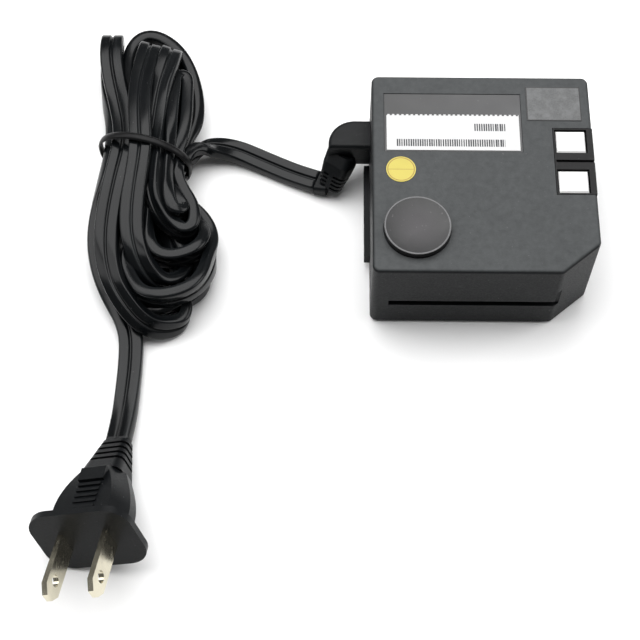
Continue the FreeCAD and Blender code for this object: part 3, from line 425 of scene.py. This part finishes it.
ROUTE = [
    (-44.6, 12.6, 2.6, 0.3, 0.9, 0), (-50.6, 14.9, 2, 0.3, 0.9, 0), (-60.2, 19.6, 1.8, 0.4, 0.9, 0),
    (-69, 23.2, 3, 0, 1, 0), (-76.3, 23.2, 4.8, -0.3, 0.9, -0.3), (-81.9, 19.7, 6.7, -0.1, -0.4, -0.9),
    (-86.3, 13, 8.9, -0.9, 0.3, -0.2), (-86.9, 5.5, 11.1, 0.4, 0.1, -0.9),
    (-84.7, 1.4, 12.5, 0.1, 0, -1), (-83.1, -2.2, 13.1, -0.1, 0, -1), (-82.3, -3.4, 12.9, -0.1, 0, -1),
    (-83.3, -5, 13.8, 0, 0, -1), (-85.2, -4.6, 14.7, 0, 0, -1), (-87.2, -0.5, 14.9, -0.3, 0, -1),
    (-89.1, 6.5, 14.4, -0.8, 0, -0.6), (-88.7, 15.1, 13.9, -0.7, 0, -0.7),
    (-87.6, 23.2, 13.2, -0.2, 0, -1), (-86.9, 31.3, 12, 0.1, 0, -1), (-86.9, 38.8, 10.7, 0, 0, -1),
    (-87.2, 43.2, 9.9, 0, 0, -1), (-85.5, 44.2, 9.3, -0.1, 0, -1), (-83.7, 43.2, 9.1, -0.1, 0, -1),
    (-83.3, 36, 9.8, 0, 0, -1), (-83.3, 27.7, 11, -0.1, 0, -1), (-84.2, 20.9, 11.8, -0.2, 0, -1),
    (-85.9, 16.2, 11.9, -0.5, 0.1, -0.9), (-86.9, 12.1, 12, -0.9, -0.1, -0.4),
    (-83.3, 5.7, 11.5, 0.3, 0.2, -0.9), (-80, -2.2, 11.7, -0.2, 0, -1),
    (-79.4, -7.8, 11.6, -0.2, 0, -1), (-81.4, -9.7, 11.1, 0, 0, -1), (-84.8, -8.4, 11.4, -0.3, 0, -1),
    (-88.5, -5, 12.9, -0.6, 0.1, -0.8), (-91.1, 0.2, 14.7, -0.6, 0.2, -0.8),
    (-91.9, 7.2, 15.4, -0.8, 0.1, -0.6), (-91.9, 15, 15.1, -0.9, 0, -0.5),
    (-92.2, 22.2, 14.5, -1, 0, -0.2), (-91.8, 30.3, 14, -1, 0, -0.2),
    (-90.9, 38.3, 13.9, -0.9, 0, -0.4), (-89.8, 45.1, 13.6, -1, 0.2, -0.1),
    (-89.1, 50.3, 12.8, -0.9, 0.4, 0), (-89.1, 53.1, 10.8, -0.9, 0.4, 0),
    (-89.7, 52.4, 7.5, -0.9, 0.5, -0.1), (-90.6, 49.1, 4.5, -1, 0.2, 0),
    (-91.5, 44.4, 3.1, -1, 0, 0.1), (-92.1, 36.2, 3.3, -0.9, 0.1, 0.5), (-92.1, 25.1, 5.5, -1, 0, 0.1),
    (-92, 13.7, 8.2, -0.5, 0.1, -0.8), (-90.6, 3.5, 8.3, -0.4, -0.3, -0.9),
    (-83.5, -0.8, 5.4, 0.2, 0.3, -0.9), (-78.2, -4.8, 5.5, -0.1, 0.1, -1),
    (-76.8, -9.8, 8.2, -0.3, 0, -1), (-77.6, -13.9, 10, -0.1, 0, -1), (-80.6, -16.6, 10.4, 0, 0, -1),
    (-85.1, -17.7, 10.1, 0, 0, -1), (-89.5, -16.5, 9.9, 0, 0, -1), (-92.8, -12.4, 10.1, -0.5, 0, -0.9),
    (-94.8, -6, 10.6, -0.9, 0, -0.3), (-95.6, 1.6, 11.2, -1, 0, 0.2), (-95.2, 9.2, 11.9, -1, 0, 0.3),
    (-93.8, 18.5, 11.7, -1, 0, 0.2), (-91.4, 28.3, 9.8, -0.6, -0.1, -0.8),
    (-89, 35, 6.7, 0.6, -0.1, -0.8), (-87.5, 38.7, 4.3, 0.3, -0.1, -1), (-85.7, 39.3, 3.5, 0.1, 0, -1),
    (-84.2, 37.9, 3.4, 0, 0, -1), (-84.1, 35, 3.5, -0.1, 0, -1), (-85.2, 29.4, 4, -0.1, 0, -1),
    (-87.9, 21.8, 4.3, -0.5, 0, -0.9), (-89.8, 13.7, 4.3, -0.2, -0.1, -1),
    (-88.3, 4.3, 4.1, -0.4, 0, -0.9), (-86, -4.1, 4.3, 0.3, 0.1, -0.9), (-83.4, -9.7, 4, 0.1, 0.1, -1),
    (-81.2, -14.1, 3.6, 0.2, 0.1, -1), (-80.7, -18.4, 3.9, 0.1, -0.1, -1),
    (-84.3, -22.5, 5.8, -0.2, 0.1, -1), (-88, -24.1, 7.9, -0.4, -0.1, -0.9),
    (-91.3, -22.3, 10.1, -0.8, -0.2, -0.6), (-94.4, -17.6, 12.2, -1, 0, -0.3),
    (-96.6, -10.7, 13.9, -1, 0, 0), (-96.7, -2.5, 15.5, -1, 0, 0), (-95.7, 6.1, 16.9, -1, 0, -0.2),
    (-95.1, 14.9, 17.3, -1, 0, -0.1), (-95.9, 22.8, 17, -1, 0, -0.2), (-96.8, 31.4, 16, -1, 0, -0.1),
    (-96.9, 39.7, 14.6, -1, 0, -0.1), (-96.2, 46.5, 13.5, -1, 0.2, 0),
    (-95.6, 51.8, 12.5, -0.9, 0.3, 0), (-95.5, 55, 10.6, -0.9, 0.3, 0), (-96, 54.7, 7.7, -0.9, 0.3, 0),
    (-96.6, 51.7, 6, -1, 0, 0), (-96.9, 47.2, 6.2, -1, 0, 0), (-96.9, 38.1, 7.3, -1, 0, 0),
    (-97.6, 25.5, 7.8, -1, 0, -0.1), (-98.1, 14.5, 7.7, -1, 0, -0.1),
    (-95.5, 7.5, 6.9, -0.7, 0.4, -0.6), (-87.2, 4.8, 5.9, -0.2, -0.1, -1),
    (-79.6, 1.4, 5.2, 0.1, 0.2, -1), (-75.7, -4, 4.2, -0.1, 0, -1), (-74.7, -10.7, 5.2, -0.3, 0, -0.9),
    (-74.8, -17.3, 7.6, 0.2, 0, -1), (-76.1, -23.1, 9.9, 0.1, 0, -1), (-78.8, -27.4, 11.2, 0, 0, -1),
    (-82.9, -29.9, 11.7, 0, 0, -1), (-87.7, -30.6, 11.3, 0, 0, -1), (-92.3, -29.4, 10.5, 0, 0, -1),
    (-96.3, -25.6, 9.6, -0.3, -0.2, -0.9), (-99.3, -19.4, 8.9, -0.5, -0.1, -0.9),
    (-100.3, -11, 8.2, -0.9, 0, -0.4), (-100.1, -1.6, 8.6, -0.9, 0, 0.4),
    (-99.7, 7.7, 9.8, -1, 0, 0.2), (-99.9, 17.4, 10.4, -1, 0, -0.1),
    (-100.5, 28.6, 9.9, -0.9, 0, -0.5), (-101.7, 39.4, 8.4, -0.1, 0, -1),
    (-102.4, 48.5, 6.9, 0, 0, -1), (-101.9, 55.5, 6, 0, 0, -1), (-99.8, 59.8, 5.9, 0, 0, -1),
    (-96.3, 61.5, 5.9, 0, 0, -1), (-92.1, 60.1, 5.9, 0, 0, -1), (-87.8, 56.2, 5.8, -0.1, -0.1, -1),
    (-84.2, 50.3, 5.5, -0.1, -0.1, -1), (-81.9, 43.2, 5.2, -0.2, 0, -1),
    (-80.9, 35.9, 4.9, -0.3, 0, -1), (-81.6, 28.8, 5, -0.5, 0, -0.9),
    (-83.9, 22.1, 5.6, -0.1, -0.1, -1), (-85.5, 14.8, 5.7, -0.8, 0, -0.6),
    (-86.1, 8.1, 4.7, -0.5, -0.1, -0.9), (-83.7, -2.1, 3.3, 0.3, 0.1, -0.9),
    (-79.5, -10.5, 3.4, 0.2, 0.1, -1), (-77.1, -16.8, 3.4, 0.2, 0, -1),
    (-77.1, -21.8, 3.7, 0.3, 0, -1), (-79.4, -26.1, 5, 0.1, -0.1, -1),
    (-84.7, -29.9, 5.5, -0.2, 0.3, -0.9), (-89, -31.6, 4.5, 0, 0, -1), (-92.9, -30.6, 3.6, 0, 0, -1),
    (-96.4, -27.1, 3.4, -0.2, -0.1, -1), (-99.6, -21.7, 3.3, -0.4, -0.2, -0.9),
    (-102.1, -14.1, 3.3, -0.6, 0, -0.8), (-103, -4.7, 3.1, -1, 0, 0), (-102, 5.1, 3.6, -1, 0, 0.1),
    (-100.1, 15.9, 4.4, -1, 0, -0.1), (-98.9, 27.1, 4.9, -1, 0, -0.2), (-98.6, 37.4, 4.7, -1, 0, 0),
    (-98.6, 43.4, 4.5, -1, 0, -0.1), (-98.1, 44.3, 2.8, -1, 0, 0), (-97.5, 43.3, 1.7, -1, 0, 0),
    (-97.1, 37.6, 1.9, -1, 0, 0), (-96.2, 27.4, 2.1, -1, 0, 0.1), (-95.2, 16, 1.9, -1, 0, 0),
    (-93.9, 6, 2.1, -1, 0, -0.1), (-91.6, -1, 2.7, -0.9, 0, -0.4), (-89, -7.2, 3, -0.9, 0, -0.5),
    (-87, -13.6, 3.2, -0.9, 0.1, -0.5), (-84.1, -21.1, 3.4, -0.3, 0.1, -0.9),
    (-81.1, -29.2, 3.4, -0.2, 0, -1), (-81.6, -33.6, 3.5, -0.2, 0, -1),
    (-84.8, -35.6, 3.9, -0.1, -0.3, -0.9), (-88.9, -36.6, 5.2, -0.3, -0.5, -0.8),
    (-93, -35.2, 7, -0.6, -0.4, -0.6), (-97, -31.2, 9, -0.9, -0.2, -0.5),
    (-100.4, -25.9, 10.6, -0.9, 0.1, -0.5), (-102.7, -19.6, 11.7, -1, 0, -0.3),
    (-103.7, -12.4, 12.8, -1, 0, -0.1), (-103.4, -3.9, 14, -1, 0, 0), (-102.1, 5.2, 14.9, -1, 0, -0.1),
    (-100.7, 15, 14.7, -1, 0, 0), (-100.5, 23.2, 13.6, -1, 0, -0.2), (-102.5, 32.2, 12.9, -1, 0, -0.3),
    (-105.1, 41.3, 12.5, -1, 0, -0.1), (-106.7, 48.8, 12.4, -1, 0, 0), (-107.1, 54.9, 11.8, -1, 0, 0),
    (-107.1, 58.6, 9.9, -1, 0, 0), (-107.4, 57.8, 6.6, -1, 0, 0), (-107.7, 53.4, 4.2, -1, 0, 0),
    (-107.5, 47.8, 3.8, -1, 0, 0), (-106.2, 39.4, 5.2, -1, 0.1, 0.2),
    (-104.2, 28.4, 7.5, -0.5, 0.1, 0.8), (-103.6, 17, 8.9, -0.5, 0, 0.9),
    (-104.8, 7.1, 8.8, -0.8, 0, 0.6), (-106.2, -1.7, 8.4, -1, 0, 0.2), (-106.6, -9.7, 7.8, -1, 0, 0.1),
    (-105.6, -16.5, 6.9, -1, 0, 0.1), (-103.6, -22.5, 5.5, -1, 0, 0), (-100.8, -27.7, 4, -1, 0, -0.1),
    (-97.8, -32.6, 2.8, -1, 0, 0), (-96, -38.5, 2, -1, 0, 0), (-95.7, -46, 1.9, -1, 0, 0),
    (-95.9, -55, 2.2, -1, 0, -0.1), (-96.3, -63.5, 2.4, -0.9, 0, -0.3),
    (-97.3, -70.7, 3.6, -0.9, 0, -0.3),
]

# A quarter of the cord's outline past its groove: share of the half width, share of the half thickness
ROUND_OF_CORD = [(0.11, 0.88), (0.16, 0.98), (0.22, 1.0), (0.80, 1.0), (0.86, 0.98), (0.93, 0.86),
                 (0.985, 0.50)]


def spline_points(name, points):
    """Points down the middle of a smooth NURBS line through the given control points."""
    curve = bpy.data.curves.new(name, "CURVE")
    curve.dimensions = "3D"
    curve.resolution_u = 8
    spline = curve.splines.new("NURBS")
    spline.points.add(len(points) - 1)
    for point, place in zip(spline.points, points):
        point.co = (*place, 1.0)
    spline.order_u = 3
    spline.use_endpoint_u = True
    carrier = bpy.data.objects.new(name, curve)
    mesh = bpy.data.meshes.new_from_object(carrier)
    found = [vertex.co.copy() for vertex in mesh.vertices]
    bpy.data.objects.remove(carrier)
    bpy.data.curves.remove(curve)
    bpy.data.meshes.remove(mesh)
    return found


def cord_section(width, thick, groove):
    """Outline of two conductors side by side with a groove between them on each face."""
    half, rise = width / 2, thick / 2
    right = [(0.0, groove), (0.06 * half, groove * 1.06)]
    right += [(x * half, y * rise) for x, y in ROUND_OF_CORD] + [(half, 0.0)]
    lower = [(x, -y) for x, y in reversed(right[:-1])]
    left = [(-x, -y) for x, y in right[1:]]
    upper = [(-x, y) for x, y in reversed(right[1:-1])]
    return right + lower + left + upper


def cord_mesh(path, edge, outline):
    """The outline swept along the path and turned to the edge line, with a map in metres."""
    count, last = len(outline), len(path) - 1
    vertices, runs = [], [0.0]
    for i, place in enumerate(path):
        if i:
            runs.append(runs[-1] + (place - path[i - 1]).length)
        ahead = (path[min(i + 1, last)] - path[max(i - 1, 0)]).normalized()
        across = edge[i] - place
        across = (across - ahead * across.dot(ahead)).normalized()
        rise = ahead.cross(across)
        vertices += [place + across * x + rise * y for x, y in outline]
    faces = []
    for i in range(last):
        for k in range(count):
            a, b = i * count + k, i * count + (k + 1) % count
            faces.append((a, b, b + count, a + count))
    faces += [tuple(range(count)), tuple(reversed(range(last * count, (last + 1) * count)))]
    mesh = bpy.data.meshes.new("flat_cord")
    mesh.from_pydata(vertices, [], faces)
    turn = [0.0]
    for k in range(count):
        turn.append(turn[-1] + math.dist(outline[k], outline[(k + 1) % count]))
    around = mesh.uv_layers.new(name="along").data
    for face in mesh.polygons[:-2]:
        face.use_smooth = True
        i, k = divmod(face.index, count)
        corners = ((turn[k], runs[i]), (turn[k + 1], runs[i]), (turn[k + 1], runs[i + 1]),
                   (turn[k], runs[i + 1]))
        for loop, corner in zip(face.loop_indices, corners):
            around[loop].uv = corner
    return mesh


class PA_OT_cord(bpy.types.Operator):
    """Flat two-conductor cord from the relief, through the tied hank, to the plug"""
    bl_idname = "adapter.cord"
    bl_label = "Cord"

    def execute(self, context):
        settings = context.scene.adapter_cord
        middle = [Vector(row[:3]) * MM for row in ROUTE]
        beside = [place + Vector(row[3:]).normalized() * MM for place, row in zip(middle, ROUTE)]
        path = spline_points("cord_line", middle)
        edge = spline_points("cord_edge", beside)
        outline = cord_section(settings.width, settings.thick, settings.groove)
        piece = bpy.data.objects.new("flat_cord", cord_mesh(path, edge, outline))
        context.scene.collection.objects.link(piece)
        faced_outwards(piece)
        finished(piece, cord_finish(), "cord_plastic", "cord_lead", "cord_hank", "cord_plug_run")
        return {"FINISHED"}


# Tie: half width and half height of its loop, squared below where the hank lies flat

TIE_CENTRE, TIE_YAW = Vector((-94.7, 16.3, 10.2)) * MM, math.radians(-14)
TIE_REACH, TIE_FACING = (13.5 * MM, 9.8 * MM), (12.9, 9.6)
TIE_THICK, TIE_WIDE = 5.5 * MM, 12 * MM
SQUARED, FLATTENED = 0.45, 0.8


class PA_OT_tie(bpy.types.Operator):
    """Thin band pulled tight round the waist of the hank"""
    bl_idname = "adapter.tie"
    bl_label = "Tie"

    def execute(self, context):
        deselect()
        bpy.ops.mesh.primitive_torus_add(major_segments=96, minor_segments=12, major_radius=1.0,
                                         minor_radius=0.1)
        piece = started("cord_tie_band")
        yaw = Matrix.Rotation(TIE_YAW, 3, "Z")
        for vertex in piece.data.vertices:
            x, y, z = vertex.co
            angle, out = math.atan2(y, x), math.hypot(x, y) - 1.0
            wide, tall = math.cos(angle), math.sin(angle)
            away = Vector((wide / TIE_FACING[0], 0, tall / TIE_FACING[1])).normalized()
            if tall < 0:
                wide, tall = math.copysign(abs(wide) ** SQUARED, wide), -abs(tall) ** FLATTENED
            loop = Vector((wide * TIE_REACH[0], z * TIE_WIDE, tall * TIE_REACH[1]))
            vertex.co = yaw @ (loop + away * out * TIE_THICK) + TIE_CENTRE
        chosen(piece)
        bpy.ops.object.shade_smooth_by_angle(angle=math.radians(60))
        faced_outwards(piece)
        finished(piece, moulded("tie_sheath", (0.004, 0.004, 0.0043), 0.36, 1800.0, 0.02), "tie_plastic",
                 "cord_tie")
        return {"FINISHED"}


class PA_OT_case(bpy.types.Operator):
    """Finishes of the two halves of the case, the ledge and the output block"""
    bl_idname = "adapter.case"
    bl_label = "Case"

    def execute(self, context):
        settings = context.scene.adapter_case
        # The paler colour given for the top face is painted light
        shell = moulded("case_plastic", list(settings.colour), 0.5, settings.grain, 0.04,
                        lit_top=(0.066, 0.0700, 0.0715))
        for node in ("upper_case", "lower_case"):
            dress(node, shell)
        dress("output_frame", moulded("block_plastic", (0.005, 0.005, 0.0053), 0.34, 1500.0, 0.02))
        insert = painted("insert_nylon", (0.86, 0.86, 0.85), 0.32, scale=300.0, other=(0.78, 0.78, 0.77))
        for number in (1, 2):
            dress("output_insert_%d" % number, insert)
        return {"FINISHED"}


class PA_OT_labels(bpy.types.Operator):
    """Label film, the bar sticker with its printed bars, the round sticker and the grey patch"""
    bl_idname = "adapter.labels"
    bl_label = "Labels"

    def execute(self, context):
        settings = context.scene.adapter_label
        dress("rating_label", film_finish())
        dress("marking_patch", patch_finish())
        dress("bar_sticker", barred_finish(list(settings.white), settings.bars))
        dress("round_sticker", disc_finish(list(settings.yellow)))
        return {"FINISHED"}


# What lies inside the closed case: nodes, colour, roughness and how far they are metal

INNER = (
    ("inlet_housing", (0.015, 0.015, 0.016), 0.4, 0.0),
    ("circuit_board", (0.03, 0.13, 0.045), 0.4, 0.0),
    ("interference_capacitor", (0.72, 0.5, 0.03), 0.35, 0.0),
    ("bridge_rectifier optocoupler switching_transistor output_rectifier", (0.02, 0.02, 0.02), 0.5, 0.0),
    ("fuse", (0.12, 0.03, 0.01), 0.35, 0.0),
    ("bulk_capacitor output_capacitor_1 output_capacitor_2", (0.01, 0.015, 0.04), 0.3, 0.0),
    ("bridging_capacitor", (0.02, 0.08, 0.4), 0.35, 0.0),
    ("choke_core transformer_core", (0.02, 0.02, 0.022), 0.6, 0.0),
    ("choke_winding", (0.45, 0.14, 0.03), 0.35, 0.8),
    ("transformer_bobbin", (0.015, 0.014, 0.012), 0.5, 0.0),
    ("transformer_winding", (0.75, 0.58, 0.05), 0.4, 0.0),
    ("primary_heat_sink secondary_heat_sink", (0.6, 0.61, 0.62), 0.35, 1.0),
    ("output_contact_1 output_contact_2 output_contact_3", (0.7, 0.5, 0.22), 0.3, 1.0),
    ("inlet_pin_1 inlet_pin_2 contact_sleeve_1 contact_sleeve_2", (0.65, 0.6, 0.48), 0.25, 1.0),
)


class PA_OT_inner(bpy.types.Operator):
    """Finishes of the board and the parts inside the closed case"""
    bl_idname = "adapter.inner"
    bl_label = "Inner parts"

    def execute(self, context):
        for nodes, colour, rough, metal in INNER:
            for node in nodes.split():
                dress(node, painted(node + "_finish", colour, rough, metal))
        return {"FINISHED"}


class PA_OT_foot(bpy.types.Operator):
    """Rubber foot with its dish"""
    bl_idname = "adapter.foot"
    bl_label = "Rubber foot"

    def execute(self, context):
        dress("rubber_foot", rubber_finish())
        return {"FINISHED"}


class PA_OT_plug(bpy.types.Operator):
    """Moulded plug, its blades and the cord connector"""
    bl_idname = "adapter.plug"
    bl_label = "Plug and connector"

    def execute(self, context):
        mould = moulded("plug_plastic", (0.0036, 0.0042, 0.0048), 0.40, 1700.0, 0.03)
        dress("plug_body", mould)
        dress("cord_connector", mould)
        blade = blade_finish()
        for number in (1, 2):
            dress("plug_blade_%d" % number, blade)
        return {"FINISHED"}


# Studio: camera, and lamps with their place, width and share of the overhead lamp's power

CAMERA_PLACE = Vector((-41.87, -218.47, 372.15)) * MM
CAMERA_TURN = (math.radians(90 - 63.28), 0, math.radians(0.54))
LENS, SENSOR = 83.28, 36.0
LIT_PLACE = Vector((-0.04, 0, 0))
WORLD_LIGHT = 0.16
LAMPS = (("key", (-0.1, 0.30, 0.85), 1.0, 1.25), ("fill", (-0.8, 0.1, 0.6), 0.6, 0.3),
         ("right", (0.8, 0.15, 0.5), 0.6, 0.4))


class PA_OT_studio(bpy.types.Operator):
    """Camera at the viewing angle, pale floor and large soft lamps"""
    bl_idname = "adapter.studio"
    bl_label = "Studio"

    def execute(self, context):
        settings, scene = context.scene.adapter_studio, context.scene
        camera = bpy.data.cameras.new("camera")
        camera.lens, camera.sensor_width = LENS, SENSOR
        camera.clip_start, camera.clip_end = 0.01, 10.0
        viewer = bpy.data.objects.new("camera", camera)
        scene.collection.objects.link(viewer)
        viewer.location, viewer.rotation_euler = CAMERA_PLACE, CAMERA_TURN
        scene.camera = viewer
        deselect()
        bpy.ops.mesh.primitive_plane_add(size=6.0, location=(0, 0, 0))
        floor = started("floor")
        f = Finish("floor")
        cloud = f.ramp(f.noise(f.place(), 2.0), 0.3, 0.7)
        floor.data.materials.append(f.set(
            Base_Color=f.blend(cloud, list(settings.floor), [c * 0.99 for c in settings.floor]),
            Roughness=0.9))
        scene.view_settings.view_transform = "Standard"
        scene.world = bpy.data.worlds.new("studio")
        scene.world.use_nodes = True
        sky = scene.world.node_tree.nodes["Background"].inputs
        sky["Color"].default_value, sky["Strength"].default_value = (1, 1, 1, 1), WORLD_LIGHT
        for name, place, wide, power in LAMPS:
            lamp = bpy.data.lights.new(name, "AREA")
            lamp.shape, lamp.size, lamp.energy = "SQUARE", wide, settings.light * power
            holder = bpy.data.objects.new(name, lamp)
            scene.collection.objects.link(holder)
            holder.location = place
            holder.rotation_euler = (LIT_PLACE - Vector(place)).to_track_quat("-Z", "Y").to_euler()
        return {"FINISHED"}


class PA_PT_panel(bpy.types.Panel):
    """Everything the adapter's scene can be given, in order"""
    bl_label = "Power adapter"
    bl_idname = "PA_PT_panel"
    bl_space_type = "VIEW_3D"
    bl_region_type = "UI"
    bl_category = "Adapter"

    def draw(self, context):
        for group in GROUPS:
            settings = getattr(context.scene, group)
            for name in settings.__annotations__:
                self.layout.prop(settings, name)
        for step in STEPS:
            self.layout.operator(step.bl_idname)


GROUPS = {"adapter_case": CaseSettings, "adapter_label": LabelSettings, "adapter_cord": CordSettings,
          "adapter_studio": StudioSettings}
STEPS = (PA_OT_studio, PA_OT_tie, PA_OT_cord, PA_OT_case, PA_OT_foot, PA_OT_labels, PA_OT_plug,
         PA_OT_inner)


def register():
    for item in (*GROUPS.values(), *STEPS, PA_PT_panel):
        bpy.utils.register_class(item)
    for group, kind in GROUPS.items():
        setattr(bpy.types.Scene, group, PointerProperty(type=kind))


def unregister():
    for group in GROUPS:
        delattr(bpy.types.Scene, group)
    for item in reversed((*GROUPS.values(), *STEPS, PA_PT_panel)):
        bpy.utils.unregister_class(item)


def main():
    register()
    for step in STEPS:
        family, name = step.bl_idname.split(".")
        getattr(getattr(bpy.ops, family), name)()


if __name__ == "__main__":
    main()
